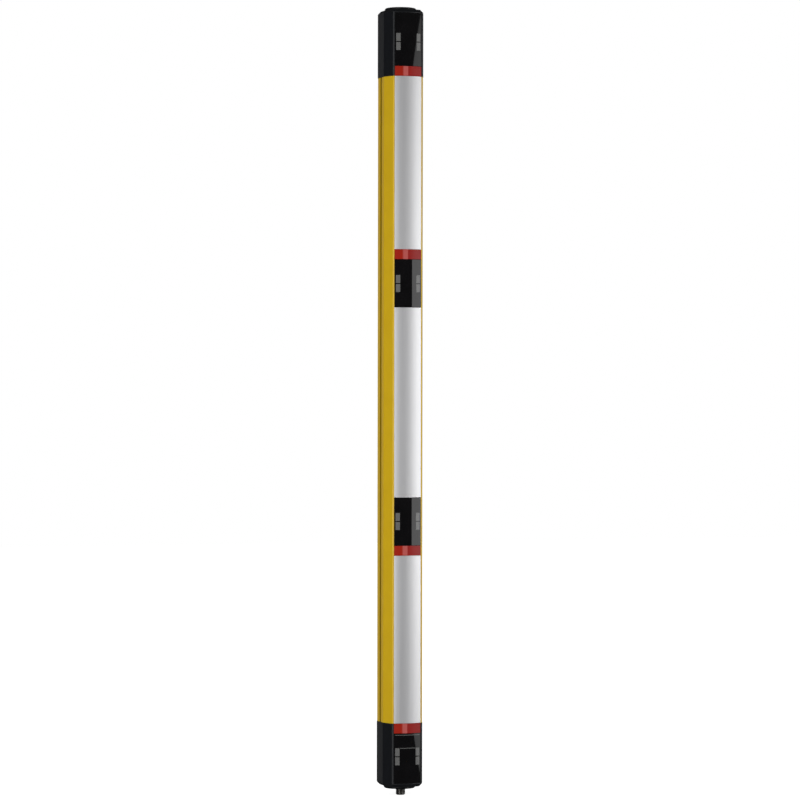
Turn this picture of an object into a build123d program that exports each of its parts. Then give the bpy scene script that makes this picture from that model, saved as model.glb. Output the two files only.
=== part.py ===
"""Multi-beam safety light barrier: an extruded housing with moulded end caps and four optical beams.

Millimetres. X runs across the front, the beams leave along -Y, and Z is up.
The origin is the middle of the lower swivel disc, where its straight wall ends and its rounded face starts.
"""

import os
from math import atan2, pi, sqrt, tan

from build123d import *

os.makedirs("parts", exist_ok=True)

# Heights along the barrier
top_cap_height = 86.2
bottom_cap_height = 82.0
disc_height = 2.4
crown_height = 1.2  # rounded face of each swivel disc, beyond its straight wall
end_chamfer = 3.8
gasket_thickness = 0.8

# Beams and the pieces of the front
beam_count = 4
beam_pitch = 300.0
first_beam_height = 40.8
last_beam_margin = 43.8  # from the topmost beam to the upper disc
window_height = 60.6
window_drop = 4.1  # the middle windows sit this much below their beam's axis
stripe_height = 12.5
stripe_overlap = 0.8  # the outermost red stripes reach this far over the joint of cap and housing
joint_gap = 0.16  # fine line between two pieces of the front
window_margin = 1.0  # from a cap window's outer end to the cap's chamfer

# Cross-section of the housing
section_width = 52.0
section_depth = 64.7
side_flat = 23.4
front_radius = 54.0
corner_half = 19.65
rear_half = 18.5
housing_wall = 2.4
corner_round = 1.5
crease_round = 2.5
rear_round = 4.0
least_round = 0.5

# Seat of the front pieces
seat_half = 17.9
seat_depth = 3.0
ledge_width = 2.3
ledge_thickness = 2.0
side_clearance = 0.1
front_thickness = 3.0
land_width = 2.0

# T-slots for mounting nuts, in both sides and in the back
slot_throat = 6.2
slot_lip = 2.0
slot_width = 10.8
slot_depth = 3.8
slot_wall = 1.6

# End caps
cap_overlap = 0.45  # the caps stand this much proud of the housing all round
cap_wall = 2.5
end_plate = 1.0  # thickness of the end plate below the chamfer
disc_radius = 20.0
disc_recess_width = 5.0
disc_recess_depth = 1.4
disc_rim = 3.6

# Cap screws and the ports that take them
screw_radius = 2.0
screw_clearance = 0.25
thread_clearance = 0.05
port_wall = 1.7
port_rib = 2.0
front_port_x = 14.6
front_port_y = -20.2
rear_port_x = 13.0
rear_port_y = 23.5
head_radius = 3.5
head_height = 3.0
head_clearance = 0.2
thread_reach = 14.0
socket_flat = 3.0
socket_depth = 1.8

# Carrier rail inside the housing
carrier_half = 22.0
carrier_thickness = 1.6
carrier_clearance = 0.1
carrier_end_gap = 11.0
guide_reach = 4.5
guide_thickness = 1.6
board_rail_half = 13.0
board_rail_thickness = 2.2
board_rail_height = 3.3
board_rail_lip = 1.4

# Optics modules
board_thickness = 1.6
optics_board_width = 20.6
optics_board_height = 44.0
tube_radius = 10.5
tube_length = 29.5
tube_wall = 1.1
tube_flange_height = 27.0
tube_flange_thickness = 3.0
lens_thickness = 2.2
lens_bulge = 2.6
lens_fit = 0.05
diode_radius = 2.5
diode_length = 5.4
diode_collar_radius = 2.9
diode_clearance = 0.3
module_screw_radius = 1.25
module_head_radius = 2.3
module_head_height = 1.5
module_screw_x = 7.4
module_screw_z = 11.2

# Wiring inside
plug_width = 12.0
plug_height = 5.0
plug_depth = 4.0
ribbon_width = 10.0
ribbon_thickness = 0.9
header_width = 15.0
header_height = 4.4
control_board_length = 262.0
control_board_bottom = 20.0

# Indicator behind the bottom cap window
indicator_rise = 19.0  # from the lowest beam to the middle of the display
indicator_board_height = 27.0
indicator_board_width = 20.4
indicator_board_lift = 23.0
indicator_board_gap = 1.0
display_width = 10.0
display_height = 14.0
display_depth = 6.0
display_x = -3.6
guide_rod_x = 6.4
guide_rod_radius = 1.5
guide_rod_pitch = 5.0
guide_rod_gap = 1.2
spacer_radius = 2.2
spacer_margin = 2.6

# Plug connector in the bottom cap
connector_y = -4.0
connector_reach = 8.6
connector_thread_radius = 6.0
connector_chamfer = 0.7
connector_bore_radius = 4.3
connector_flange_radius = 8.3
connector_flange_thickness = 1.8
connector_body_radius = 6.8
connector_body_reach = 5.0
connector_clearance = 0.15
seal_thickness = 1.0
seal_width = 1.2
nut_flat = 17.0
nut_height = 4.0
contact_radius = 0.5
contact_circle = 2.5
contact_recess = 2.4
insert_face = 7.6
insert_clearance = 0.05
key_width = 1.4
key_depth = 1.0
key_length = 5.0
connector_board_half = 8.2

# Spring that earths the carrier rail to the housing
spring_height = 9.0
spring_thickness = 0.4
spring_foot = 4.0
spring_lean = 1.8
spring_rise = 5.0
spring_gap = 0.2
spring_lift = 30.0

# Places that follow from the sizes above
half_width = section_width / 2
half_depth = section_depth / 2
beam_heights = [first_beam_height + beam_pitch * number for number in range(beam_count)]
total_height = beam_heights[-1] + last_beam_margin
bottom_foot = bottom_cap_height
top_foot = total_height - top_cap_height
port_radius = screw_radius + thread_clearance
boss_radius = screw_radius + screw_clearance + port_wall
ports = [
    (front_port_x, front_port_y),
    (-front_port_x, front_port_y),
    (rear_port_x, rear_port_y),
    (-rear_port_x, rear_port_y),
]


def front_depth(x, grow=0.0):
    """How far the curved front stands before the middle plane at a distance x from the centre line."""
    return half_depth - front_radius + sqrt((front_radius + grow) ** 2 - x**2)


front_slope = atan2(half_width - corner_half, front_depth(corner_half) - side_flat / 2)
rear_slope = atan2(half_width - rear_half, half_depth - side_flat / 2)
ledge_depth = front_depth(seat_half) - seat_depth
slot_total = slot_lip + slot_depth + slot_wall
bulge_half = slot_width / 2 + slot_wall
carrier_front = bulge_half + carrier_clearance
carrier_back = carrier_front + carrier_thickness
board_front = carrier_front - board_thickness
tube_front = tube_length - board_front
plug_z = optics_board_height / 2 - plug_height / 2
header_z = first_beam_height - plug_z


def flank_x(y):
    """Half width of the housing at y, on the sloping flanks."""
    slope = front_slope if y < 0 else rear_slope
    return half_width - (abs(y) - side_flat / 2) * tan(slope)


def front_corner(grow):
    """Corner between the curved front and the flank, with both moved outwards by grow."""
    steep = tan(front_slope)
    crease = side_flat / 2 + grow * tan(front_slope / 2)
    reach = half_width + grow + crease * steep
    centre = half_depth - front_radius
    middle = reach * steep + centre
    rest = reach**2 + centre**2 - (front_radius + grow) ** 2
    depth = (middle + sqrt(middle**2 - (1 + steep**2) * rest)) / (1 + steep**2)
    return reach - depth * steep, depth


def outline(grow=0.0):
    """Outer outline of the section, with every side moved outwards by grow."""
    corner_x, corner_depth = front_corner(grow)
    side_x = half_width + grow
    front_crease = side_flat / 2 + grow * tan(front_slope / 2)
    rear_crease = side_flat / 2 + grow * tan(rear_slope / 2)
    back_x = rear_half + grow * tan((pi / 2 - rear_slope) / 2)
    back_y = half_depth + grow
    with BuildSketch() as face:
        with BuildLine():
            ThreePointArc((-corner_x, -corner_depth), (0, -half_depth - grow), (corner_x, -corner_depth))
            Polyline(
                (corner_x, -corner_depth),
                (side_x, -front_crease),
                (side_x, rear_crease),
                (back_x, back_y),
                (-back_x, back_y),
                (-side_x, rear_crease),
                (-side_x, -front_crease),
                (-corner_x, -corner_depth),
            )
        make_face()
        fillet(face.vertices().group_by(Axis.Y)[-1], max(rear_round + grow, least_round))
        fillet(face.vertices().group_by(Axis.Y)[2], max(crease_round + grow, least_round))
        fillet(face.vertices().group_by(Axis.Y)[1], max(crease_round + grow, least_round))
        fillet(face.vertices().group_by(Axis.Y)[0], max(corner_round + grow, least_round))
    return face.sketch


def port_bosses():
    """Bosses round the cap screws, each with a rib that ties it to the wall."""
    with BuildSketch() as face:
        with Locations(*ports):
            Circle(boss_radius)
        for x, y in ports:
            wall_x = flank_x(y) - housing_wall / 2
            side = 1 if x > 0 else -1
            with Locations((side * (abs(x) + wall_x) / 2, y)):
                Rectangle(wall_x - abs(x), port_rib)
    return face.sketch


def hollow_section(grow, wall, bore):
    """Wall of the housing or of a cap, with the seat of the front pieces and the screw bosses."""
    with BuildSketch() as face:
        add(outline(grow))
        add(outline(grow - wall), mode=Mode.SUBTRACT)
        add(port_bosses())
        ledge_x = seat_half + (wall / 2 - ledge_width) / 2
        ledge_y = ledge_thickness / 2 - ledge_depth
        with Locations((ledge_x, ledge_y), (-ledge_x, ledge_y)):
            Rectangle(ledge_width + wall / 2, ledge_thickness)
        with Locations((0, -ledge_depth)):
            Rectangle(2 * seat_half, section_depth, align=(Align.CENTER, Align.MAX), mode=Mode.SUBTRACT)
        with Locations(*ports):
            Circle(bore, mode=Mode.SUBTRACT)
    return face.sketch


# The housing: one extrusion with T-slots, screw ports, guide grooves and the front seat
with BuildPart() as housing:
    with BuildSketch(Plane.XY.offset(bottom_foot + gasket_thickness)) as housing_face:
        add(hollow_section(0, housing_wall, port_radius))
        side_bulge = half_width - slot_total / 2
        with Locations((side_bulge, 0), (-side_bulge, 0)):
            Rectangle(slot_total, 2 * bulge_half)
        with Locations((0, half_depth - slot_total / 2)):
            Rectangle(2 * bulge_half, slot_total)
        guide_y = carrier_back + carrier_clearance + guide_thickness / 2
        guide_x = half_width - housing_wall / 2 - guide_reach / 2
        with Locations((guide_x, guide_y), (-guide_x, guide_y)):
            Rectangle(guide_reach, guide_thickness)
        chamber = half_width - slot_lip - slot_depth / 2
        with Locations((chamber, 0), (-chamber, 0)):
            Rectangle(slot_depth, slot_width, mode=Mode.SUBTRACT)
        with Locations((half_width, 0), (-half_width, 0)):
            Rectangle(2 * slot_lip, slot_throat, mode=Mode.SUBTRACT)
        with Locations((0, half_depth - slot_lip - slot_depth / 2)):
            Rectangle(slot_width, slot_depth, mode=Mode.SUBTRACT)
        with Locations((0, half_depth)):
            Rectangle(slot_throat, 2 * slot_lip, mode=Mode.SUBTRACT)
    extrude(amount=top_foot - bottom_foot - 2 * gasket_thickness)
housing.part.label = "housing_profile"
export_step(housing.part, "parts/housing_profile.step")


def end_cap(foot, end, up, centre_bore):
    """Moulded cap from its foot on the housing to the face of its swivel disc, with up as 1 or -1."""
    wall_end = end - up * (disc_height + end_chamfer)
    face = end + up * crown_height
    cavity = abs(wall_end - foot) - end_plate
    with BuildPart() as cap:
        with BuildSketch(Plane.XY.offset(foot)):
            add(outline(cap_overlap))
        extrude(amount=up * abs(wall_end - foot))
        with BuildSketch(Plane.XY.offset(wall_end)):
            add(outline(cap_overlap))
        with BuildSketch(Plane.XY.offset(wall_end + up * end_chamfer)):
            add(outline(cap_overlap - end_chamfer))
        loft(ruled=True)
        with BuildSketch(Plane.XY.offset(end)):
            Circle(disc_radius)
        extrude(amount=-up * (disc_height + end_chamfer / 2))
        with BuildSketch(Plane.XY.offset(end)):
            Circle(disc_radius)
        with BuildSketch(Plane.XY.offset(face)):
            Circle(disc_radius - crown_height)
        loft()
        with BuildSketch(Plane.XY.offset(foot)):
            add(outline(cap_overlap))
            add(hollow_section(cap_overlap, cap_wall, screw_radius + screw_clearance), mode=Mode.SUBTRACT)
        extrude(amount=up * cavity, mode=Mode.SUBTRACT)
        with BuildSketch(Plane.XY.offset(foot)):
            with Locations(*ports):
                Circle(screw_radius + screw_clearance)
        extrude(amount=up * abs(face - foot), mode=Mode.SUBTRACT)
        with BuildSketch(Plane.XY.offset(wall_end)):
            with Locations(*ports):
                Circle(head_radius + head_clearance)
        extrude(amount=up * 2 * end_chamfer, mode=Mode.SUBTRACT)
        with BuildSketch(Plane.XY.offset(face)):
            Circle(disc_radius - disc_rim)
            Circle(disc_radius - disc_rim - disc_recess_width, mode=Mode.SUBTRACT)
        extrude(amount=-up * disc_recess_depth, mode=Mode.SUBTRACT)
        if centre_bore:
            recess = connector_flange_thickness + seal_thickness
            with BuildSketch(Plane.XY.offset(face)):
                with Locations((0, connector_y)):
                    Circle(connector_flange_radius + connector_clearance)
            extrude(amount=-up * recess, mode=Mode.SUBTRACT)
            with BuildSketch(Plane.XY.offset(face)):
                with Locations((0, connector_y)):
                    Circle(connector_body_radius + connector_clearance)
            extrude(amount=wall_end - up * end_plate - face, mode=Mode.SUBTRACT)
    return cap.part


with BuildPart() as top_cap:
    add(end_cap(top_foot, total_height, 1, False))
top_cap.part.label = "top_end_cap"
export_step(top_cap.part, "parts/top_end_cap.step")

with BuildPart() as bottom_cap:
    add(end_cap(bottom_foot, 0, -1, True))
bottom_cap.part.label = "bottom_end_cap"
export_step(bottom_cap.part, "parts/bottom_end_cap.step")


# Gaskets between the caps and the housing: the section without the front pieces
for name, height in (("bottom", bottom_foot), ("top", top_foot - gasket_thickness)):
    with BuildPart() as gasket:
        with BuildSketch(Plane.XY.offset(height)):
            add(hollow_section(-joint_gap, housing_wall, screw_radius + screw_clearance))
            with Locations((0, -ledge_depth)):
                Rectangle(2 * seat_half, ledge_thickness, align=(Align.CENTER, Align.MIN))
        extrude(amount=gasket_thickness)
    gasket.part.label = f"{name}_gasket"
    export_step(gasket.part, f"parts/{name}_gasket.step")


def front_section():
    """Section that every piece of the front shares: a curved face on two flat lands."""
    edge = seat_half - side_clearance
    land = edge - land_width
    with BuildSketch() as face:
        with BuildLine():
            ThreePointArc((-edge, -front_depth(edge)), (0, -half_depth), (edge, -front_depth(edge)))
            Polyline((edge, -front_depth(edge)), (edge, -ledge_depth), (land, -ledge_depth))
            ThreePointArc((land, -ledge_depth), (0, front_thickness - half_depth), (-land, -ledge_depth))
            Polyline((-land, -ledge_depth), (-edge, -ledge_depth), (-edge, -front_depth(edge)))
        make_face()
    return face.sketch


# The pieces of the front, from bottom to top: windows, red stripes and silver cover strips
strip_start = bottom_foot + stripe_overlap
strip_end = top_foot - stripe_overlap
front_pieces = {
    "bottom_cap_window": (disc_height + end_chamfer + window_margin, strip_start - stripe_height),
    "red_stripe_1": (strip_start - stripe_height, strip_start),
}
for number in range(2, beam_count):
    middle = beam_heights[number - 1] - window_drop
    low = middle - window_height / 2
    high = middle + window_height / 2
    front_pieces[f"beam_window_{number}"] = (low, high)
    # In the lower half the red stripe is below its window, in the upper half above it
    if number <= beam_count / 2:
        front_pieces[f"red_stripe_{number}"] = (low - stripe_height, low)
        low -= stripe_height
    else:
        front_pieces[f"red_stripe_{number}"] = (high, high + stripe_height)
        high += stripe_height
    front_pieces[f"cover_strip_{number - 1}"] = (strip_start, low)
    strip_start = high
front_pieces[f"cover_strip_{beam_count - 1}"] = (strip_start, strip_end)
front_pieces[f"red_stripe_{beam_count}"] = (strip_end, strip_end + stripe_height)
window_top = total_height - disc_height - end_chamfer - window_margin
front_pieces["top_cap_window"] = (strip_end + stripe_height, window_top)
for name, (low, high) in front_pieces.items():
    with BuildPart() as front_piece:
        with BuildSketch(Plane.XY.offset(low + joint_gap / 2)):
            add(front_section())
        extrude(amount=high - low - joint_gap)
    front_piece.part.label = name
    export_step(front_piece.part, f"parts/{name}.step")


# Long screws that pull each cap against the housing
for name, foot, end, up in (("bottom", bottom_foot, 0, -1), ("top", top_foot, total_height, 1)):
    head_seat = end - up * (disc_height + end_chamfer)
    with BuildPart() as cap_screws:
        with BuildSketch(Plane.XY.offset(head_seat)):
            with Locations(*ports):
                Circle(head_radius)
        extrude(amount=up * head_height)
        with BuildSketch(Plane.XY.offset(head_seat)):
            with Locations(*ports):
                Circle(screw_radius)
        extrude(amount=-up * (abs(head_seat - foot) + thread_reach))
        with BuildSketch(Plane.XY.offset(head_seat + up * head_height)):
            with Locations(*ports):
                RegularPolygon(socket_flat / 2, 6, major_radius=False)
        extrude(amount=-up * socket_depth, mode=Mode.SUBTRACT)
    cap_screws.part.label = f"{name}_cap_screws"
    export_step(cap_screws.part, f"parts/{name}_cap_screws.step")


def looking_out(height, depth):
    """Plane that faces along the beam, at a height and at a distance before the middle plane."""
    return Plane(origin=(0, -depth, height), x_dir=(1, 0, 0), z_dir=(0, -1, 0))


# Carrier rail: slides in the housing's guide grooves and holds the modules and the control board
carrier_bottom = disc_height + end_chamfer + carrier_end_gap
carrier_top = total_height - carrier_bottom
groove_seat = carrier_back + board_rail_height
groove_top = groove_seat + board_thickness + 2 * carrier_clearance
with BuildPart() as carrier:
    with BuildSketch(Plane.XY.offset(carrier_bottom)):
        with Locations((0, (carrier_front + carrier_back) / 2)):
            Rectangle(2 * carrier_half, carrier_thickness)
        rail_x = board_rail_half + carrier_clearance
        rail_height = groove_top - carrier_back + board_rail_lip
        with Locations((rail_x, carrier_back), (-rail_x, carrier_back)):
            Rectangle(2 * board_rail_thickness, rail_height, align=(Align.CENTER, Align.MIN))
        groove_y = (groove_seat + groove_top) / 2
        with Locations((0, groove_y)):
            Rectangle(2 * rail_x, groove_top - groove_seat, mode=Mode.SUBTRACT)
    extrude(amount=carrier_top - carrier_bottom)
    for height in beam_heights:
        with BuildSketch(looking_out(height, -carrier_back)):
            with Locations((module_screw_x, module_screw_z), (-module_screw_x, -module_screw_z)):
                Circle(module_screw_radius + carrier_clearance)
        extrude(amount=carrier_thickness, mode=Mode.SUBTRACT)
    with BuildSketch(looking_out(header_z, -carrier_back)):
        Rectangle(header_width + 2 * carrier_clearance, header_height + 2 * carrier_clearance)
    extrude(amount=carrier_thickness, mode=Mode.SUBTRACT)
carrier.part.label = "carrier_rail"
export_step(carrier.part, "parts/carrier_rail.step")


# One optics module behind each window: board with its plugs, diode, tube and lens
lens_seat = tube_front - lens_thickness
for number, height in enumerate(beam_heights, start=1):
    with BuildPart() as board:
        with BuildSketch(looking_out(height, -carrier_front)):
            Rectangle(optics_board_width, optics_board_height)
        extrude(amount=board_thickness)
        with BuildSketch(looking_out(height, -board_front)):
            with Locations((0, plug_z), (0, -plug_z)):
                Rectangle(plug_width, plug_height)
        extrude(amount=plug_depth)
        with BuildSketch(looking_out(height, -carrier_front)):
            with Locations((module_screw_x, module_screw_z), (-module_screw_x, -module_screw_z)):
                Circle(module_screw_radius + carrier_clearance)
        extrude(amount=board_thickness, mode=Mode.SUBTRACT)
    board.part.label = f"optics_board_{number}"
    export_step(board.part, f"parts/optics_board_{number}.step")

    with BuildPart() as diode:
        with BuildSketch(looking_out(height, -board_front)):
            Circle(diode_collar_radius)
        extrude(amount=diode_length / 5)
        with BuildSketch(looking_out(height, -board_front)):
            Circle(diode_radius)
        extrude(amount=diode_length)
        chamfer(diode.edges().group_by(Axis.Y)[0], diode_radius / 2)
    diode.part.label = f"diode_{number}"
    export_step(diode.part, f"parts/diode_{number}.step")

    with BuildPart() as tube:
        with BuildSketch(looking_out(height, -board_front)):
            Rectangle(2 * tube_radius, tube_flange_height)
        extrude(amount=tube_flange_thickness)
        with BuildSketch(looking_out(height, -board_front)):
            Circle(tube_radius)
        extrude(amount=tube_length)
        with BuildSketch(looking_out(height, -board_front)):
            Circle(diode_collar_radius + diode_clearance)
        with BuildSketch(looking_out(height, lens_seat)):
            Circle(tube_radius - 2 * tube_wall)
        loft(mode=Mode.SUBTRACT)
        with BuildSketch(looking_out(height, lens_seat)):
            Circle(tube_radius - tube_wall)
        extrude(amount=lens_thickness, mode=Mode.SUBTRACT)
        with BuildSketch(looking_out(height, -board_front)):
            with Locations((module_screw_x, module_screw_z), (-module_screw_x, -module_screw_z)):
                Circle(module_screw_radius + thread_clearance)
        extrude(amount=tube_flange_thickness, mode=Mode.SUBTRACT)
    tube.part.label = f"lens_tube_{number}"
    export_step(tube.part, f"parts/lens_tube_{number}.step")

    lens_radius = tube_radius - tube_wall - lens_fit
    with BuildPart() as lens:
        with BuildSketch(Plane(origin=(0, 0, height), x_dir=(0, -1, 0), z_dir=(1, 0, 0))):
            with BuildLine():
                lens_edge = lens_seat + lens_thickness
                lens_tip = lens_edge + lens_bulge
                Polyline((lens_tip, 0), (lens_seat, 0), (lens_seat, lens_radius), (lens_edge, lens_radius))
                dome_radius = (lens_radius**2 + lens_bulge**2) / (2 * lens_bulge)
                RadiusArc((lens_edge, lens_radius), (lens_tip, 0), dome_radius)
            make_face()
        revolve(axis=Axis((0, 0, height), (0, -1, 0)))
    lens.part.label = f"lens_{number}"
    export_step(lens.part, f"parts/lens_{number}.step")

# Screws that clamp the modules to the carrier rail, two to a module, from behind
with BuildPart() as module_screws:
    for height in beam_heights:
        places = [(module_screw_x, module_screw_z), (-module_screw_x, -module_screw_z)]
        with BuildSketch(looking_out(height, -carrier_back - module_head_height)):
            with Locations(*places):
                Circle(module_head_radius)
        extrude(amount=module_head_height)
        with BuildSketch(looking_out(height, -carrier_back)):
            with Locations(*places):
                Circle(module_screw_radius)
        extrude(amount=carrier_thickness + board_thickness + tube_flange_thickness)
module_screws.part.label = "module_screws"
export_step(module_screws.part, "parts/module_screws.step")

# Flat ribbons that join each optics board to the next
ribbon_depth = -board_front + (plug_depth - ribbon_thickness) / 2
for number in range(1, beam_count):
    low = beam_heights[number - 1] + optics_board_height / 2
    high = beam_heights[number] - optics_board_height / 2
    with BuildPart() as ribbon:
        with BuildSketch(looking_out((low + high) / 2, ribbon_depth)):
            Rectangle(ribbon_width, high - low)
        extrude(amount=ribbon_thickness)
    ribbon.part.label = f"ribbon_link_{number}"
    export_step(ribbon.part, f"parts/ribbon_link_{number}.step")

# Control board: slides in the grooves behind the carrier rail
board_seat = groove_seat + carrier_clearance
board_middle = control_board_bottom + control_board_length / 2
with BuildPart() as control_board:
    with BuildSketch(looking_out(board_middle, -board_seat - board_thickness)):
        Rectangle(2 * board_rail_half, control_board_length)
    extrude(amount=board_thickness)
    chip_rows = [board_middle + control_board_length * share for share in (-0.3, -0.1, 0.1, 0.3)]
    for row in chip_rows:
        with BuildSketch(looking_out(row, -board_seat - board_thickness)):
            Rectangle(board_rail_half, board_rail_half)
        extrude(amount=-board_thickness)
control_board.part.label = "control_board"
export_step(control_board.part, "parts/control_board.step")

# Header that joins the lowest optics board to the control board through a window in the rail
with BuildPart() as header:
    with BuildSketch(looking_out(header_z, -board_seat)):
        Rectangle(header_width, header_height)
    extrude(amount=board_seat - carrier_front)
header.part.label = "board_header"
export_step(header.part, "parts/board_header.step")

# Indicator board on spacers behind the bottom cap window, with a figure display and light guides
indicator_height = first_beam_height + indicator_rise
indicator_bottom = first_beam_height + tube_radius + indicator_board_gap
indicator_top = indicator_bottom + indicator_board_height
indicator_back = indicator_board_lift - carrier_front
indicator_front = indicator_back + board_thickness
with BuildPart() as indicator_board:
    with BuildSketch(looking_out((indicator_bottom + indicator_top) / 2, indicator_back)):
        Rectangle(indicator_board_width, indicator_board_height)
    extrude(amount=board_thickness)
    with BuildSketch(looking_out(indicator_height, indicator_front)):
        with Locations((display_x, 0)):
            Rectangle(display_width, display_height)
    extrude(amount=display_depth)
indicator_board.part.label = "indicator_board"
export_step(indicator_board.part, "parts/indicator_board.step")

with BuildPart() as light_guides:
    with BuildSketch(looking_out(indicator_height, indicator_front)):
        with Locations((guide_rod_x, guide_rod_pitch), (guide_rod_x, 0), (guide_rod_x, -guide_rod_pitch)):
            Circle(guide_rod_radius)
    extrude(amount=half_depth - front_thickness - guide_rod_gap - indicator_front)
light_guides.part.label = "light_guides"
export_step(light_guides.part, "parts/light_guides.step")

spacer_x = indicator_board_width / 2 - spacer_margin
spacer_low = first_beam_height + optics_board_height / 2 + spacer_margin
spacer_high = indicator_top - spacer_margin
with BuildPart() as indicator_spacers:
    for height in (spacer_low, spacer_high):
        with BuildSketch(looking_out(height, -carrier_front)):
            with Locations((spacer_x, 0), (-spacer_x, 0)):
                RegularPolygon(spacer_radius, 6)
        extrude(amount=indicator_board_lift)
indicator_spacers.part.label = "indicator_spacers"
export_step(indicator_spacers.part, "parts/indicator_spacers.step")

# Leaf spring that earths the carrier rail to the wall of the side slot
spring_tip = half_width - slot_total - spring_gap - spring_thickness / 2
spring_seat = carrier_front - spring_thickness / 2
with BuildPart() as earth_spring:
    with BuildSketch(Plane.XY.offset(bottom_foot + spring_lift)):
        with BuildLine() as leaf:
            Polyline(
                (spring_tip - spring_lean - spring_foot, spring_seat),
                (spring_tip - spring_lean, spring_seat),
                (spring_tip, spring_seat - spring_rise),
            )
        trace(leaf.line, spring_thickness)
    extrude(amount=spring_height)
earth_spring.part.label = "earth_spring"
export_step(earth_spring.part, "parts/earth_spring.step")

# Plug connector: threaded shell, sealing ring, locknut, contact insert and contacts
flange_bottom = -crown_height
flange_top = flange_bottom + connector_flange_thickness
connector_end = flange_bottom - connector_reach
nut_seat = disc_height + end_chamfer + end_plate
body_top = nut_seat + connector_body_reach
with BuildPart() as connector_shell:
    with BuildSketch(Plane.XY.offset(connector_end)):
        with Locations((0, connector_y)):
            Circle(connector_thread_radius)
    extrude(amount=connector_reach)
    chamfer(connector_shell.edges().group_by(Axis.Z)[0], connector_chamfer)
    with BuildSketch(Plane.XY.offset(flange_bottom)):
        with Locations((0, connector_y)):
            Circle(connector_flange_radius)
    extrude(amount=connector_flange_thickness)
    with BuildSketch(Plane.XY.offset(flange_top)):
        with Locations((0, connector_y)):
            Circle(connector_body_radius)
    extrude(amount=body_top - flange_top)
    with BuildSketch(Plane.XY.offset(connector_end)):
        with Locations((0, connector_y)):
            Circle(connector_bore_radius)
    extrude(amount=body_top - connector_end, mode=Mode.SUBTRACT)
connector_shell.part.label = "connector_shell"
export_step(connector_shell.part, "parts/connector_shell.step")

with BuildPart() as connector_seal:
    with BuildSketch(Plane.XY.offset(flange_top)):
        with Locations((0, connector_y)):
            Circle(connector_body_radius + seal_width)
            Circle(connector_body_radius, mode=Mode.SUBTRACT)
    extrude(amount=seal_thickness)
connector_seal.part.label = "connector_seal"
export_step(connector_seal.part, "parts/connector_seal.step")

with BuildPart() as connector_nut:
    with BuildSketch(Plane.XY.offset(nut_seat)):
        with Locations((0, connector_y)):
            RegularPolygon(nut_flat / 2, 6, major_radius=False)
            Circle(connector_body_radius + thread_clearance, mode=Mode.SUBTRACT)
    extrude(amount=nut_height)
connector_nut.part.label = "connector_nut"
export_step(connector_nut.part, "parts/connector_nut.step")

insert_bottom = connector_end + insert_face
insert_radius = connector_bore_radius - insert_clearance
with BuildPart() as contact_insert:
    with BuildSketch(Plane.XY.offset(insert_bottom)):
        with Locations((0, connector_y)):
            Circle(insert_radius)
    extrude(amount=body_top - insert_bottom)
    with BuildSketch(Plane.XY.offset(insert_bottom)):
        with Locations((0, connector_y + insert_radius - key_depth / 2)):
            Rectangle(key_width, key_depth / 2)
    extrude(amount=-key_length)
    with BuildSketch(Plane.XY.offset(insert_bottom)):
        with Locations((0, connector_y)):
            Circle(contact_radius)
            with PolarLocations(contact_circle, 4, start_angle=45):
                Circle(contact_radius)
    extrude(amount=body_top - insert_bottom, mode=Mode.SUBTRACT)
contact_insert.part.label = "contact_insert"
export_step(contact_insert.part, "parts/contact_insert.step")

contact_bottom = connector_end + contact_recess
with BuildPart() as contacts:
    with BuildSketch(Plane.XY.offset(contact_bottom)):
        with Locations((0, connector_y)):
            Circle(contact_radius)
            with PolarLocations(contact_circle, 4, start_angle=45):
                Circle(contact_radius)
    extrude(amount=body_top - contact_bottom)
contacts.part.label = "connector_contacts"
export_step(contacts.part, "parts/connector_contacts.step")

# Small board on the back of the connector, with a header up to the lowest optics board's plug
plug_bottom = first_beam_height - optics_board_height / 2
with BuildPart() as connector_board:
    with BuildSketch(Plane.XY.offset(body_top)):
        with Locations((0, connector_y - connector_board_half)):
            Rectangle(
                2 * connector_board_half,
                board_front - connector_y + connector_board_half,
                align=(Align.CENTER, Align.MIN),
            )
    extrude(amount=board_thickness)
    with BuildSketch(Plane.XY.offset(body_top + board_thickness)):
        with Locations((0, board_front - plug_depth / 2)):
            Rectangle(plug_width, plug_depth)
    extrude(amount=plug_bottom - body_top - board_thickness)
connector_board.part.label = "connector_board"
export_step(connector_board.part, "parts/connector_board.step")
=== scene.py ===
from math import asin, cos, pi, radians, sin

import bmesh
import bpy
from mathutils import Matrix, Quaternion, Vector


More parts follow.
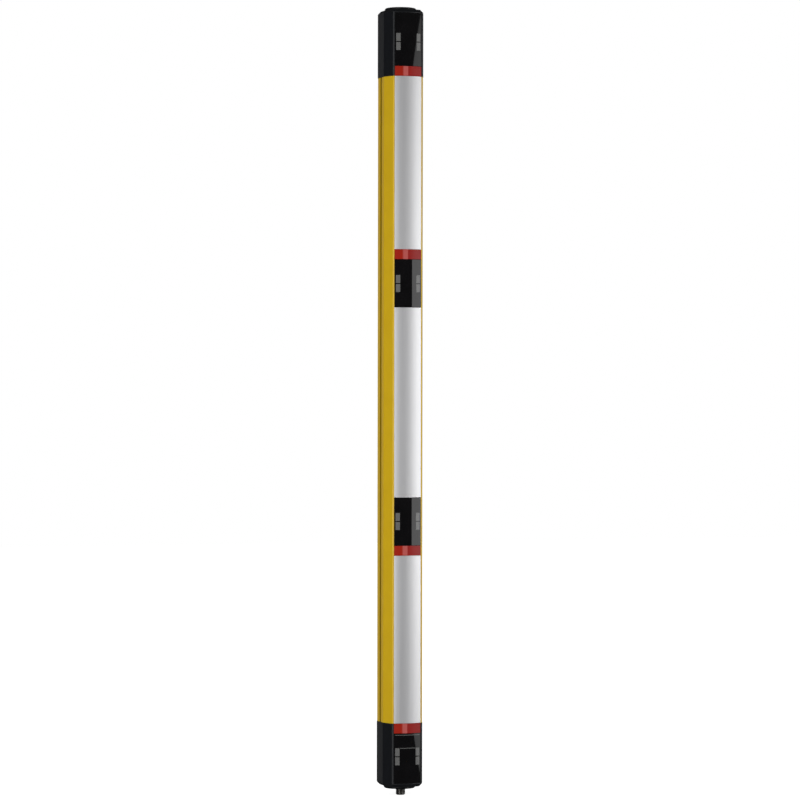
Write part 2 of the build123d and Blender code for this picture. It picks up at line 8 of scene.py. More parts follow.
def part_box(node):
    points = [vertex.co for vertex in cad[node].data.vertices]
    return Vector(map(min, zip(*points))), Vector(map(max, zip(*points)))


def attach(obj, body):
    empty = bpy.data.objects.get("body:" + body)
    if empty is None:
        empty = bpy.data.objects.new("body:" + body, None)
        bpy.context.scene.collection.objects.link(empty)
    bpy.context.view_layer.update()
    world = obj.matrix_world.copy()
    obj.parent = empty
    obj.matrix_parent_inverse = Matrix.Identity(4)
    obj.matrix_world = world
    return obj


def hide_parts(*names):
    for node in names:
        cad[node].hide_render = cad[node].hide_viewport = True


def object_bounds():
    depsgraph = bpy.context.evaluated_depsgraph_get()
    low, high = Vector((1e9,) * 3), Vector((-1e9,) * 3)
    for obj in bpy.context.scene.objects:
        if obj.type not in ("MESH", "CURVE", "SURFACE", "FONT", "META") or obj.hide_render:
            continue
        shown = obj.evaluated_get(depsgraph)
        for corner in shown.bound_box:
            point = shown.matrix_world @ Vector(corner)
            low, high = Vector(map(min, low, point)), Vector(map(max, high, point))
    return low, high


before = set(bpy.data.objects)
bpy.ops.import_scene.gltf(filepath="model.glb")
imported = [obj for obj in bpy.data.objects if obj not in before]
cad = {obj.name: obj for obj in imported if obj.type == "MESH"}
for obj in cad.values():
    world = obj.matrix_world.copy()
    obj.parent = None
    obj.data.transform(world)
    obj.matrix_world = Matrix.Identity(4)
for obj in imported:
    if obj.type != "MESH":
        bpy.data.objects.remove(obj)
cad_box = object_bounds()

# Housing profile: one aluminium extrusion, cut to length and powder coated yellow all over.
# The coat is a satin one with a fine orange peel. The T-slots in its sides and its back take
# the sliding nuts of the brackets. Inside them the base colour is painted darker, as painted shade.
YELLOW_DEEP = (0.74, 0.46, 0.002)
YELLOW_BRIGHT = (0.82, 0.53, 0.005)
COAT_ROUGHNESS = 0.36
# Painted shade in the T-slots: its darker colour, and where the slots lie across and in depth.
SLOT_PAINTED_SHADE = (0.34, 0.20, 0.001)
SLOT_HALF = 0.0055
SLOT_MOUTH = 0.0004
SLOT_BOTTOM = 0.006


def start_finish(name, roughness, metallic=0.0, ior=1.5):
    """A new finish, with its plain numbers set on the shader itself."""
    finish = bpy.data.materials.new(name)
    finish.use_nodes = True
    shader = finish.node_tree.nodes["Principled BSDF"]
    shader.inputs["Roughness"].default_value = roughness
    shader.inputs["Metallic"].default_value = metallic
    shader.inputs["IOR"].default_value = ior
    return finish, finish.node_tree.nodes, finish.node_tree.links, shader


def speckle(nodes, links, scale, detail=2.0, stretch=(1.0, 1.0, 1.0)):
    """Noise that is fixed to the piece, with so many grains to a metre. Stretch makes streaks of it."""
    place = nodes.new("ShaderNodeTexCoord")
    fit = nodes.new("ShaderNodeMapping")
    fit.inputs["Scale"].default_value = stretch
    noise = nodes.new("ShaderNodeTexNoise")
    noise.inputs["Scale"].default_value = scale
    noise.inputs["Detail"].default_value = detail
    links.new(place.outputs["Object"], fit.inputs["Vector"])
    links.new(fit.outputs["Vector"], noise.inputs["Vector"])
    return noise.outputs["Fac"]


def tint(nodes, links, shader, amount, first, second, low=0.35, high=0.65):
    """Base colour that goes from one tone to another as the amount grows from low to high."""
    ramp = nodes.new("ShaderNodeValToRGB")
    ramp.color_ramp.elements[0].position = low
    ramp.color_ramp.elements[0].color = (*first, 1.0)
    ramp.color_ramp.elements[1].position = high
    ramp.color_ramp.elements[1].color = (*second, 1.0)
    links.new(amount, ramp.inputs["Fac"])
    links.new(ramp.outputs["Color"], shader.inputs["Base Color"])


def relief(nodes, links, shader, amount, height, strength=1.0):
    """Surface relief of so many metres from peak to valley."""
    bump = nodes.new("ShaderNodeBump")
    bump.inputs["Distance"].default_value = height
    bump.inputs["Strength"].default_value = strength
    links.new(amount, bump.inputs["Height"])
    links.new(bump.outputs["Normal"], shader.inputs["Normal"])


def vary_roughness(nodes, links, shader, amount, smooth, rough):
    """Roughness that follows the amount from smooth to rough."""
    span = nodes.new("ShaderNodeMapRange")
    span.inputs["To Min"].default_value = smooth
    span.inputs["To Max"].default_value = rough
    links.new(amount, span.inputs["Value"])
    links.new(span.outputs["Result"], shader.inputs["Roughness"])


def axes(nodes, links, coordinates="Object"):
    """The coordinates of a point, one output for each axis."""
    place = nodes.new("ShaderNodeTexCoord")
    split = nodes.new("ShaderNodeSeparateXYZ")
    links.new(place.outputs[coordinates], split.inputs["Vector"])
    return split.outputs


def calculate(nodes, links, operation, *terms):
    """Result of one sum, whose terms are plain numbers or outputs of other nodes."""
    result = nodes.new("ShaderNodeMath")
    result.operation = operation
    for socket, term in zip(result.inputs, terms):
        if isinstance(term, (int, float)):
            socket.default_value = term
        else:
            links.new(term, socket)
    return result.outputs["Value"]


def between(nodes, links, value, low, high):
    """One where the value lies between low and high, else nought."""
    above = calculate(nodes, links, "GREATER_THAN", value, low)
    below = calculate(nodes, links, "LESS_THAN", value, high)
    return calculate(nodes, links, "MULTIPLY", above, below)


def give(finish, *names):
    """The finish goes on these CAD nodes."""
    for name in names:
        cad[name].data.materials.clear()
        cad[name].data.materials.append(finish)


powder_coat, nodes, links, shader = start_finish("yellow_powder_coat", COAT_ROUGHNESS)
cloudy = speckle(nodes, links, scale=38, detail=3)
tint(nodes, links, shader, cloudy, YELLOW_DEEP, YELLOW_BRIGHT, low=0.1, high=0.9)
relief(nodes, links, shader, speckle(nodes, links, scale=900, detail=1), height=0.00002, strength=0.35)
point = axes(nodes, links)
aside = calculate(nodes, links, "ABSOLUTE", point["X"])
housing_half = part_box("housing_profile")[1].x
housing_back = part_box("housing_profile")[1].y
# Masks of the T-slots, where the base colour is painted darker as painted shade.
in_slots = []
for across, along, wall in ((point["Y"], aside, housing_half), (point["X"], point["Y"], housing_back)):
    over_throat = between(nodes, links, across, -SLOT_HALF, SLOT_HALF)
    in_depth = between(nodes, links, along, wall - SLOT_BOTTOM, wall - SLOT_MOUTH)
    in_slots.append(calculate(nodes, links, "MULTIPLY", over_throat, in_depth))
slot_shade_mix = nodes.new("ShaderNodeMix")
slot_shade_mix.data_type = "RGBA"
slot_shade_mix.inputs["B"].default_value = (*SLOT_PAINTED_SHADE, 1.0)
unshaded_coat = shader.inputs["Base Color"].links[0].from_socket
links.new(calculate(nodes, links, "MAXIMUM", *in_slots), slot_shade_mix.inputs["Factor"])
links.new(unshaded_coat, slot_shade_mix.inputs["A"])
links.new(slot_shade_mix.outputs["Result"], shader.inputs["Base Color"])
give(powder_coat, "housing_profile")

# Carrier rail: a flat aluminium extrusion with two grooves for the control board behind it.
# It slides into the housing's guides. The leaf spring that earths it and the spacers are
# spring bronze and brass.
RAIL_ALUMINIUM = (0.62, 0.63, 0.64)
RAIL_ALUMINIUM_DULL = (0.50, 0.51, 0.52)
BRASS = (0.62, 0.46, 0.20)
BRASS_DULL = (0.48, 0.34, 0.14)

mill_aluminium, nodes, links, shader = start_finish("mill_finish_aluminium", 0.4, metallic=1.0)
draw_lines = speckle(nodes, links, scale=900, stretch=(1.0, 1.0, 0.01))
tint(nodes, links, shader, draw_lines, RAIL_ALUMINIUM_DULL, RAIL_ALUMINIUM)
vary_roughness(nodes, links, shader, draw_lines, smooth=0.32, rough=0.5)
give(mill_aluminium, "carrier_rail")

turned_brass, nodes, links, shader = start_finish("turned_brass", 0.3, metallic=1.0)
tint(nodes, links, shader, speckle(nodes, links, scale=260), BRASS_DULL, BRASS)
tool_marks = speckle(nodes, links, scale=2400, detail=1, stretch=(1.0, 0.05, 1.0))
relief(nodes, links, shader, tool_marks, height=0.00001)
give(turned_brass, "earth_spring", "indicator_spacers")

# Boards: glass fibre with green solder resist over fine copper tracks. There is one for each
# beam, one for the control, one for the indicator and a small one on the plug connector.
RESIST_GREEN = (0.012, 0.085, 0.035)
RESIST_SHADE = 0.8
TRACK_GREEN = (0.03, 0.17, 0.07)

solder_resist, nodes, links, shader = start_finish("green_solder_resist", 0.3)
place = nodes.new("ShaderNodeTexCoord")
tracks = nodes.new("ShaderNodeTexBrick")
tracks.inputs["Scale"].default_value = 120
tracks.inputs["Mortar Size"].default_value = 0.03
tracks.inputs["Color1"].default_value = (*RESIST_GREEN, 1.0)
tracks.inputs["Color2"].default_value = (*(RESIST_SHADE * part for part in RESIST_GREEN), 1.0)
tracks.inputs["Mortar"].default_value = (*TRACK_GREEN, 1.0)
turn = nodes.new("ShaderNodeMapping")
turn.inputs["Rotation"].default_value = (pi / 2, 0.0, 0.0)
links.new(place.outputs["Object"], turn.inputs["Vector"])
links.new(turn.outputs["Vector"], tracks.inputs["Vector"])
links.new(tracks.outputs["Color"], shader.inputs["Base Color"])
relief(nodes, links, shader, tracks.outputs["Fac"], height=0.00003)
boards = [name for name in cad if name.startswith("optics_board")]
give(solder_resist, "control_board", "indicator_board", "connector_board", *boards)

# Optics modules: behind each window a matt black tube, moulded in one piece with its flange,
# keeps stray light from the diode. A clear lens sits in its rim. The light guides of the
# indicator are of the same clear plastic.
TUBE_BLACK = (0.012, 0.012, 0.013)
TUBE_GREY = (0.022, 0.022, 0.024)
DIODE_DARK = (0.010, 0.008, 0.016)
DIODE_VIOLET = (0.030, 0.018, 0.045)
LENS_COOL = (0.90, 0.93, 0.95)
LENS_CLEAR = (0.98, 0.99, 1.0)
PLASTIC_IOR = 1.49

matt_black, nodes, links, shader = start_finish("matt_black_moulding", 0.75)
tint(nodes, links, shader, speckle(nodes, links, scale=700, detail=3), TUBE_BLACK, TUBE_GREY)
relief(nodes, links, shader, speckle(nodes, links, scale=2600), height=0.00003)
give(matt_black, "board_header", "contact_insert", *(n for n in cad if n.startswith("lens_tube")))

diode_resin, nodes, links, shader = start_finish("dark_diode_resin", 0.12)
tint(nodes, links, shader, speckle(nodes, links, scale=300, detail=1), DIODE_DARK, DIODE_VIOLET)
give(diode_resin, *(n for n in cad if n.startswith("diode")))

clear_moulding, nodes, links, shader = start_finish("clear_moulded_lens", 0.03, ior=PLASTIC_IOR)
shader.inputs["Transmission Weight"].default_value = 1.0
tint(nodes, links, shader, speckle(nodes, links, scale=120, detail=1), LENS_COOL, LENS_CLEAR)
relief(nodes, links, shader, speckle(nodes, links, scale=150, detail=1), height=0.00001, strength=0.3)
give(clear_moulding, "light_guides", *(n for n in cad if n.startswith("lens_") and "tube" not in n))

# Ribbon links: grey flat ribbons of wires, from the plug of one board to the next. The wave
# texture has a band every pi / 10 metres at a scale of one, so its scale follows the wires.
RIBBON_GREY = (0.20, 0.20, 0.21)
RIBBON_PALE = (0.30, 0.30, 0.32)
RIBBON_WIRE = 0.001

ribbon_skin, nodes, links, shader = start_finish("grey_ribbon_insulation", 0.5)
place = nodes.new("ShaderNodeTexCoord")
wires = nodes.new("ShaderNodeTexWave")
wires.bands_direction = "X"
wires.inputs["Scale"].default_value = pi / (10 * RIBBON_WIRE)
links.new(place.outputs["Object"], wires.inputs["Vector"])
tint(nodes, links, shader, wires.outputs["Fac"], RIBBON_GREY, RIBBON_PALE, low=0.0, high=1.0)
relief(nodes, links, shader, wires.outputs["Fac"], height=0.0002)
give(ribbon_skin, *(n for n in cad if n.startswith("ribbon_link")))

# Gaskets and sealing ring: flat dies of black rubber between each cap and the housing, and a
# moulded ring under the flange of the connector.
RUBBER_BLACK = (0.010, 0.010, 0.010)
RUBBER_GREY = (0.020, 0.020, 0.021)

gasket_rubber, nodes, links, shader = start_finish("black_gasket_rubber", 0.7)
tint(nodes, links, shader, speckle(nodes, links, scale=500), RUBBER_BLACK, RUBBER_GREY)
relief(nodes, links, shader, speckle(nodes, links, scale=3000, detail=1), height=0.00002)
give(gasket_rubber, "top_gasket", "bottom_gasket", "connector_seal")

# End caps: black moulded caps with a chamfered end and a raised swivel disc. The mould gives
# them a fine spark-eroded grain.
CAP_BLACK = (0.0042, 0.0052, 0.0078)
CAP_GREY = (0.0065, 0.0078, 0.0112)
CAP_ROUGHNESS = 0.45

cap_moulding, nodes, links, shader = start_finish("black_cap_moulding", CAP_ROUGHNESS)
tint(nodes, links, shader, speckle(nodes, links, scale=420, detail=3), CAP_BLACK, CAP_GREY)
relief(nodes, links, shader, speckle(nodes, links, scale=3200), height=0.00001, strength=0.6)
give(cap_moulding, "top_end_cap", "bottom_end_cap")

# Cap screws and module screws: steel with a bright zinc plating, slightly clouded.
ZINC_BRIGHT = (0.62, 0.63, 0.66)
ZINC_DULL = (0.45, 0.46, 0.49)

zinc_plating, nodes, links, shader = start_finish("zinc_plated_steel", 0.3, metallic=1.0)
clouding = speckle(nodes, links, scale=350, detail=4)
tint(nodes, links, shader, clouding, ZINC_DULL, ZINC_BRIGHT)
vary_roughness(nodes, links, shader, clouding, smooth=0.22, rough=0.42)
give(zinc_plating, "top_cap_screws", "bottom_cap_screws", "module_screws")

# Front pieces: windows of dark acrylic, red stripes and silver covers lie end to end on the
# ledges of the front. All are bent to the same arc and have their sharp edges just broken.
# Each takes the place of the CAD piece of its name.
FRONT_RADIUS = 0.054
FRONT_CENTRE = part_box("beam_window_2")[0].y + FRONT_RADIUS
PLATE_THICKNESS = 0.0028
BROKEN_EDGE = 0.00022
ARC_STEPS = 48
SMOOTH_BELOW = 30
BROKEN_ABOVE = 40


def stand(name, mesh):
    """The mesh is done and stands in the scene as an object."""
    data = bpy.data.meshes.new(name)
    mesh.to_mesh(data)
    mesh.free()
    piece = bpy.data.objects.new(name, data)
    bpy.context.scene.collection.objects.link(piece)
    return piece


def show(name, mesh, finish):
    """A piece of the barrier, smooth but for its sharp edges, with its finish. It rides on the barrier."""
    bmesh.ops.recalc_face_normals(mesh, faces=mesh.faces)
    for edge in mesh.edges:
        edge.smooth = edge.is_manifold and edge.calc_face_angle(0.0) < radians(SMOOTH_BELOW)
    for face in mesh.faces:
        face.smooth = True
    piece = stand(name, mesh)
    piece.data.materials.append(finish)
    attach(piece, "root")
    return piece


def bent_plate(low, high, left, right, inner, outer, steps):
    """A plate that follows the arc of the front from left to right and stands from low to high."""
    start = asin(left / FRONT_RADIUS)
    sweep = asin(right / FRONT_RADIUS) - start
    mesh = bmesh.new()
    corners = []
    for radius, height in ((inner, low), (outer, low), (outer, high), (inner, high)):
        corners.append(mesh.verts.new((radius * sin(start), FRONT_CENTRE - radius * cos(start), height)))
    side = mesh.faces.new(corners)
    bmesh.ops.spin(
        mesh,
        geom=[side, *side.edges, *side.verts],
        cent=(0, FRONT_CENTRE, 0),
        axis=(0, 0, 1),
        angle=sweep,
        steps=steps,
        use_duplicate=False,
    )
    return mesh


def break_edges(piece, width, segments=2):
    """Rounds the sharp edges of a piece by a hair."""
    rounding = piece.modifiers.new("broken_edges", "BEVEL")
    rounding.width = width
    rounding.segments = segments
    rounding.limit_method = "ANGLE"
    rounding.angle_limit = radians(BROKEN_ABOVE)
    rounding.harden_normals = True


def front_piece(node, finish):
    """Stands for the front piece of the CAD model, on its arc and with its ends."""
    lowest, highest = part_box(node)
    inner = FRONT_RADIUS - PLATE_THICKNESS
    mesh = bent_plate(lowest.z, highest.z, lowest.x, highest.x, inner, FRONT_RADIUS, ARC_STEPS)
    piece = show(node + "_finished", mesh, finish)
    break_edges(piece, BROKEN_EDGE)
    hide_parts(node)


# Windows: dark acrylic that only infra-red passes, cast with a full gloss. The two outer ones
# lie in the seats of the caps, the two middle ones in the seat of the housing.
ACRYLIC_BLACK = (0.0030, 0.0028, 0.0032)
ACRYLIC_DEEP = (0.0044, 0.0040, 0.0046)

dark_acrylic, nodes, links, shader = start_finish("dark_window_acrylic", 0.03, ior=PLASTIC_IOR)
tint(nodes, links, shader, speckle(nodes, links, scale=60), ACRYLIC_BLACK, ACRYLIC_DEEP)
vary_roughness(nodes, links, shader, speckle(nodes, links, scale=240), smooth=0.02, rough=0.05)
windows = ["bottom_cap_window", "beam_window_2", "beam_window_3", "top_cap_window"]
for window in windows:
    front_piece(window, dark_acrylic)

# Red stripes: gloss red plastic, with a paler band up the middle that is a painted highlight
# in the base colour. One lies at the end of each window.
RED_DEEP = (0.40, 0.018, 0.007)
RED_PAINTED_HIGHLIGHT = (0.54, 0.110, 0.098)
RED_DULL = (0.335, 0.018, 0.015)
RED_SPECULAR = 0.2
HIGHLIGHT_LEFT = -0.0092
HIGHLIGHT_RIGHT = -0.0006
HIGHLIGHT_STOPS = ((0.12, RED_DEEP), (0.35, RED_PAINTED_HIGHLIGHT), (0.93, RED_PAINTED_HIGHLIGHT))

red_gloss, nodes, links, shader = start_finish("gloss_red_plastic", 0.3)
shader.inputs["Specular IOR Level"].default_value = RED_SPECULAR
# The base colour is painted lighter across X, from deep red through the painted highlight to a duller red:
# a painted reflection.
painted_highlight = nodes.new("ShaderNodeMapRange")
painted_highlight.inputs["From Min"].default_value = HIGHLIGHT_LEFT
painted_highlight.inputs["From Max"].default_value = HIGHLIGHT_RIGHT
links.new(axes(nodes, links)["X"], painted_highlight.inputs["Value"])
ramp = nodes.new("ShaderNodeValToRGB")
ramp.color_ramp.elements[0].position = 0.0
ramp.color_ramp.elements[0].color = (*RED_DEEP, 1.0)
ramp.color_ramp.elements[1].position = 1.0
ramp.color_ramp.elements[1].color = (*RED_DULL, 1.0)
for position, red in HIGHLIGHT_STOPS:
    stop = ramp.color_ramp.elements.new(position)
    stop.color = (*red, 1.0)
links.new(painted_highlight.outputs["Result"], ramp.inputs["Fac"])
links.new(ramp.outputs["Color"], shader.inputs["Base Color"])
relief(nodes, links, shader, speckle(nodes, links, scale=500, detail=1), height=0.00001, strength=0.3)
for number in range(1, 5):
    front_piece(f"red_stripe_{number}", red_gloss)

# Cover strips: rolled aluminium with a satin silver anodising, drawn along its length. They
# close the front of the housing from one stripe or window to the next.
SILVER_BRIGHT = (0.96, 0.96, 0.97)
SILVER_DULL = (0.93, 0.93, 0.945)

satin_silver, nodes, links, shader = start_finish("satin_silver_anodising", 0.53, metallic=0.9)
rolling = speckle(nodes, links, scale=1500, stretch=(1.0, 1.0, 0.004))
tint(nodes, links, shader, rolling, SILVER_DULL, SILVER_BRIGHT)
vary_roughness(nodes, links, shader, rolling, smooth=0.49, rough=0.57)
for number in range(1, 4):
    front_piece(f"cover_strip_{number}", satin_silver)

# Position marks: on each window two pairs of grey blocks show where the beam leaves. They are
# screen printed in a fine raster under a clear gloss lacquer. The indicator field has two fine
# lines of the same print.
MARK_CENTRE = 0.0134
MARK_WIDTH = 0.0053
MARK_HEIGHT = 0.0100
MARK_GAP = 0.0014
MARK_LEVELS = (0.0411, 0.3370, 0.6363, 0.9407)
MARK_STEPS = 6
PRINT_LIFT = 0.00003
PRINT_DEPTH = 0.0002
PRINT_GREY = (0.125, 0.125, 0.123)
PRINT_PALE = (0.190, 0.190, 0.186)
RASTER = 0.0009
LINE_HEIGHT = 0.0007
LINE_STEPS = 32
LINES = ((0.0678, 0.0163), (0.0513, 0.0102))

mark_print, nodes, links, shader = start_finish("grey_screen_print", 0.08, ior=PLASTIC_IOR)
place = nodes.new("ShaderNodeTexCoord")
raster = nodes.new("ShaderNodeTexChecker")
raster.inputs["Scale"].default_value = 1 / RASTER
raster.inputs["Color1"].default_value = (*PRINT_GREY, 1.0)
raster.inputs["Color2"].default_value = (*PRINT_PALE, 1.0)
links.new(place.outputs["Object"], raster.inputs["Vector"])
links.new(raster.outputs["Color"], shader.inputs["Base Color"])


def printed(name, low, high, left, right, steps):
    """One block or line of print, a hair thick on the window."""
    mesh = bent_plate(low, high, left, right, FRONT_RADIUS - PRINT_DEPTH, FRONT_RADIUS + PRINT_LIFT, steps)
    return show(name, mesh, mark_print)


for window, level in zip(windows, MARK_LEVELS):
    for side, centre in (("left", -MARK_CENTRE), ("right", MARK_CENTRE)):
        left = centre - MARK_WIDTH / 2
        for row, low in (("lower", level - MARK_GAP / 2 - MARK_HEIGHT), ("upper", level + MARK_GAP / 2)):
            name = f"{window}_mark_{side}_{row}"
            printed(name, low, low + MARK_HEIGHT, left, left + MARK_WIDTH, MARK_STEPS)
for number, (level, half) in enumerate(LINES, start=1):
    printed(f"indicator_line_{number}", level, level + LINE_HEIGHT, -half, half, LINE_STEPS)

# Plug connector: a nickel-plated brass shell turned in one piece, with a flange, a bore for
# the contacts and a rolled thread for the nut of the cable. It takes the place of the plain
# shell of the CAD model. Its locknut has the same plating.
NICKEL_BRIGHT = (0.34, 0.33, 0.31)
NICKEL_DULL = (0.22, 0.215, 0.20)
THREAD_RADIUS = 0.006
THREAD_PITCH = 0.001
THREAD_DEPTH = 0.00055
THREAD_CREST = 0.00006
THREAD_RUN_OUT = 0.0009
TURN_STEPS = 48
SHELL_REACH = 0.0086
SHELL_CHAMFER = 0.0007
SHELL_BORE = 0.0043
SHELL_BODY = 0.0068
SHELL_EDGE = 0.00012
FLANGE_THICKNESS = 0.0018

nickel_plating, nodes, links, shader = start_finish("nickel_plated_brass", 0.34, metallic=1.0)
clouding = speckle(nodes, links, scale=500, detail=3)
tint(nodes, links, shader, clouding, NICKEL_DULL, NICKEL_BRIGHT)
vary_roughness(nodes, links, shader, clouding, smooth=0.28, rough=0.42)
give(nickel_plating, "connector_nut")

shell_low, shell_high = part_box("connector_shell")
shell_axis = Vector(((shell_low.x + shell_high.x) / 2, (shell_low.y + shell_high.y) / 2, 0))
flange_radius = (shell_high.x - shell_low.x) / 2
flange_foot = shell_low.z + SHELL_REACH
flange_top = flange_foot + FLANGE_THICKNESS
thread_root = THREAD_RADIUS - THREAD_DEPTH
outline = [
    (SHELL_BORE, shell_low.z),
    (thread_root - SHELL_CHAMFER, shell_low.z),
    (thread_root, shell_low.z + SHELL_CHAMFER),
    (thread_root, flange_foot),
    (flange_radius, flange_foot),
    (flange_radius, flange_top),
    (SHELL_BODY, flange_top),
    (SHELL_BODY, shell_high.z),
    (SHELL_BORE, shell_high.z),
]
shell = bmesh.new()
corners = [shell.verts.new((shell_axis.x + radius, shell_axis.y, height)) for radius, height in outline]
sides = [shell.edges.new((corner, corners[number - 1])) for number, corner in enumerate(corners)]
bmesh.ops.spin(
    shell,
    geom=[*corners, *sides],
    cent=shell_axis,
    axis=(0, 0, 1),
    angle=2 * pi,
    steps=2 * TURN_STEPS,
    use_merge=True,
)
thread_start = shell_low.z + THREAD_RUN_OUT
turns = (flange_foot - THREAD_RUN_OUT - thread_start) / THREAD_PITCH
ridge = [
    (thread_root - THREAD_CREST, -THREAD_PITCH / 2 + THREAD_CREST),
    (THREAD_RADIUS, -THREAD_CREST),
    (THREAD_RADIUS, THREAD_CREST),
    (thread_root - THREAD_CREST, THREAD_PITCH / 2 - THREAD_CREST),
]
crest = []
for radius, height in ridge:
    crest.append(shell.verts.new((shell_axis.x + radius, shell_axis.y, thread_start + height)))
section = shell.faces.new(crest)
bmesh.ops.spin(
    shell,
    geom=[section, *section.edges, *section.verts],
    cent=shell_axis,
    axis=(0, 0, 1),
    dvec=(0, 0, THREAD_PITCH / TURN_STEPS),
    angle=2 * pi * turns,
    steps=round(turns * TURN_STEPS),
    use_duplicate=False,
)
threaded_shell = show("connector_shell_threaded", shell, nickel_plating)
break_edges(threaded_shell, SHELL_EDGE)
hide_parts("connector_shell")

# Contacts: five turned brass pins with a gold plating, pressed into the insert of the
# connector, one in the middle and four round it.
GOLD_DEEP = (0.75, 0.50, 0.17)
GOLD_PALE = (0.85, 0.60, 0.24)

gold_plating, nodes, links, shader = start_finish("gold_plated_pins", 0.2, metallic=1.0)
tint(nodes, links, shader, speckle(nodes, links, scale=400), GOLD_DEEP, GOLD_PALE)
give(gold_plating, "connector_contacts")

# Floor, light and camera: a pale studio floor under the barrier, a tall soft box on the right,
# a narrower one on the left and an even room light. The barrier is seen from its left.
FLOOR_LEVEL = cad_box[0].z
FLOOR_SIZE = 14.0
FLOOR_PALE = (0.80, 0.80, 0.80)
FLOOR_LIFT = 0.85
BEHIND_WHITE = 1.0
BEHIND_EDGE = 0.965
ROOM_LEVEL = 0.27
FRONT_DARK = 0.05
RIGHT_AZIMUTH, RIGHT_DISTANCE = 55, 2.0
RIGHT_HALF, RIGHT_SHOULDER, RIGHT_PEAK, RIGHT_RISE = 0.97, 0.617, 0.702, 0.013
RIGHT_GLOW, RIGHT_GLOW_END, RIGHT_FADE = 2.2, 0.9, 0.45
LEFT_AZIMUTH, LEFT_DISTANCE = -45, 1.8
LEFT_WIDTH, LEFT_HEIGHT, LEFT_GLOW = 0.7, 0.95, 6.7
CAMERA_AZIMUTH = -19.1
CAMERA_DISTANCE = 4.2
CAMERA_HEIGHT = 0.4898
CAMERA_LENS = 149.1
CAMERA_ROLL = 0.087

floor_mesh = bmesh.new()
bmesh.ops.create_grid(floor_mesh, x_segments=1, y_segments=1, size=FLOOR_SIZE / 2)
bmesh.ops.translate(floor_mesh, verts=floor_mesh.verts, vec=(0, 0, FLOOR_LEVEL))
floor = stand("studio_floor", floor_mesh)
floor.visible_glossy = False

floor_paint = bpy.data.materials.new("pale_floor_paint")
floor_paint.use_nodes = True
nodes, links = floor_paint.node_tree.nodes, floor_paint.node_tree.links
nodes.clear()
surface = nodes.new("ShaderNodeOutputMaterial")
paint = nodes.new("ShaderNodeBsdfDiffuse")
paint.inputs["Color"].default_value = (*FLOOR_PALE, 1.0)
lift = nodes.new("ShaderNodeEmission")
seen = nodes.new("ShaderNodeLightPath")
both = nodes.new("ShaderNodeAddShader")
lifted = calculate(nodes, links, "MULTIPLY", seen.outputs["Is Camera Ray"], FLOOR_LIFT)
links.new(lifted, lift.inputs["Strength"])
links.new(paint.outputs["BSDF"], both.inputs[0])
links.new(lift.outputs["Emission"], both.inputs[1])
links.new(both.outputs["Shader"], surface.inputs["Surface"])
floor.data.materials.append(floor_paint)

room = bpy.data.worlds.new("studio_room")
room.use_nodes = True
nodes, links = room.node_tree.nodes, room.node_tree.links
sky = nodes["Background"]
seen = nodes.new("ShaderNodeLightPath")
behind = nodes.new("ShaderNodeMapRange")
behind.inputs["From Min"].default_value = BEHIND_EDGE
behind.inputs["To Min"].default_value = FRONT_DARK
behind.inputs["To Max"].default_value = BEHIND_WHITE
links.new(axes(nodes, links, "Generated")["Y"], behind.inputs["Value"])
mirrored = nodes.new("ShaderNodeMix")
mirrored.inputs["A"].default_value = ROOM_LEVEL
links.new(seen.outputs["Is Glossy Ray"], mirrored.inputs["Factor"])
links.new(behind.outputs["Result"], mirrored.inputs["B"])
direct = (seen.outputs["Is Camera Ray"], seen.outputs["Is Transmission Ray"])
straight = calculate(nodes, links, "MAXIMUM", *direct)
brightness = nodes.new("ShaderNodeMix")
brightness.inputs["B"].default_value = BEHIND_WHITE
links.new(straight, brightness.inputs["Factor"])
links.new(mirrored.outputs["Result"], brightness.inputs["A"])
links.new(brightness.outputs["Result"], sky.inputs["Strength"])
sky.inputs["Color"].default_value = (1.0, 1.0, 1.0, 1.0)
bpy.context.scene.world = room


def facing(azimuth, distance):
    """Place of a light that faces the middle of the barrier from an azimuth."""
    angle = radians(azimuth)
    spot = Matrix.Translation((distance * sin(angle), -distance * cos(angle), CAMERA_HEIGHT))
    return spot @ Matrix.Rotation(angle, 4, "Z") @ Matrix.Rotation(pi / 2, 4, "X")


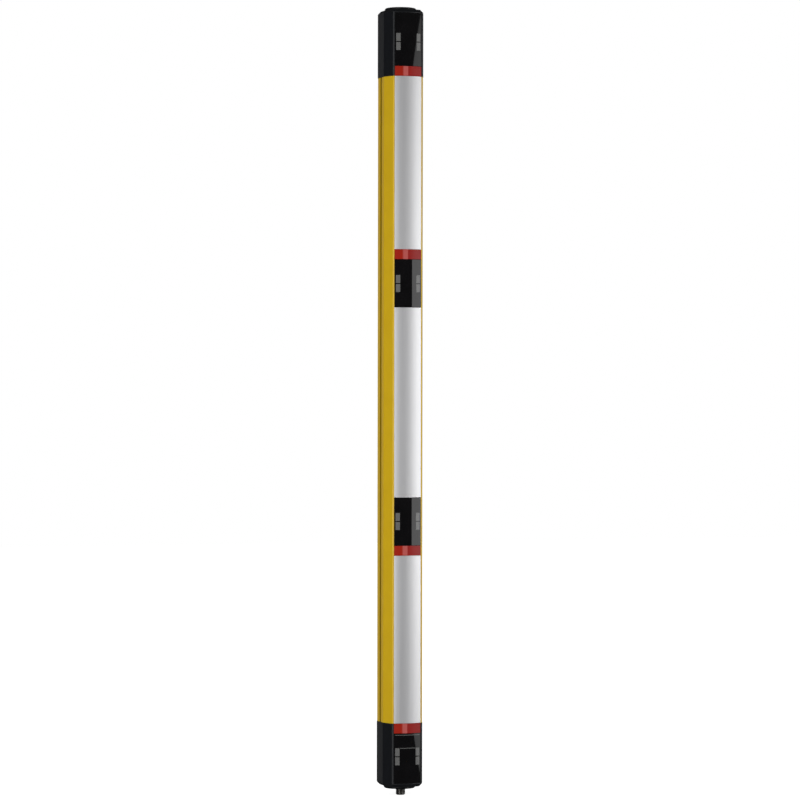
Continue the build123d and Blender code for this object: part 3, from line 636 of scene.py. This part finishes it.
# The right box is a tall one with sloping shoulders, which the windows mirror. It fades
# towards both its ends.
box_mesh = bmesh.new()
bmesh.ops.create_circle(box_mesh, segments=6, radius=1, cap_ends=True)
bmesh.ops.scale(box_mesh, verts=box_mesh.verts, vec=(RIGHT_HALF / cos(pi / 6), RIGHT_PEAK, 1))
shoulders = [corner for corner in box_mesh.verts if abs(corner.co.x) > RIGHT_HALF / 2]
bmesh.ops.scale(box_mesh, verts=shoulders, vec=(1, 2 * RIGHT_SHOULDER / RIGHT_PEAK, 1))
bmesh.ops.translate(box_mesh, verts=box_mesh.verts, vec=(0, RIGHT_RISE, 0))
bmesh.ops.transform(box_mesh, matrix=facing(RIGHT_AZIMUTH, RIGHT_DISTANCE), verts=box_mesh.verts)
right_box = stand("right_soft_box", box_mesh)
right_box.visible_camera = False
box_cloth = bpy.data.materials.new("glowing_box_cloth")
box_cloth.use_nodes = True
nodes, links = box_cloth.node_tree.nodes, box_cloth.node_tree.links
nodes.clear()
glow = nodes.new("ShaderNodeEmission")
above_middle = calculate(nodes, links, "SUBTRACT", axes(nodes, links)["Z"], CAMERA_HEIGHT)
fading = nodes.new("ShaderNodeMapRange")
fading.inputs["From Min"].default_value = RIGHT_FADE
fading.inputs["From Max"].default_value = RIGHT_PEAK
fading.inputs["To Min"].default_value = RIGHT_GLOW
fading.inputs["To Max"].default_value = RIGHT_GLOW_END
links.new(calculate(nodes, links, "ABSOLUTE", above_middle), fading.inputs["Value"])
links.new(fading.outputs["Result"], glow.inputs["Strength"])
surface = nodes.new("ShaderNodeOutputMaterial")
links.new(glow.outputs["Emission"], surface.inputs["Surface"])
right_box.data.materials.append(box_cloth)

left_light = bpy.data.lights.new("left_soft_box", "AREA")
left_light.shape = "RECTANGLE"
left_light.size, left_light.size_y = LEFT_WIDTH, LEFT_HEIGHT
left_light.energy = LEFT_GLOW * LEFT_WIDTH * LEFT_HEIGHT * pi
left_box = bpy.data.objects.new("left_soft_box", left_light)
left_box.matrix_world = facing(LEFT_AZIMUTH, LEFT_DISTANCE)
left_box.visible_camera = False
bpy.context.scene.collection.objects.link(left_box)

view = bpy.data.cameras.new("photo_camera")
view.lens = CAMERA_LENS
view.sensor_width = 36.0
view.clip_end = 100.0
camera = bpy.data.objects.new("photo_camera", view)
bpy.context.scene.collection.objects.link(camera)
angle = radians(CAMERA_AZIMUTH)
away = Vector((sin(angle), -cos(angle), 0))
camera.rotation_mode = "QUATERNION"
camera.location = away * CAMERA_DISTANCE + Vector((0, 0, CAMERA_HEIGHT))
camera.rotation_quaternion = (-away).to_track_quat("-Z", "Y") @ Quaternion((0, 0, 1), radians(CAMERA_ROLL))
bpy.context.scene.camera = camera
bpy.context.scene.view_settings.view_transform = "Standard"
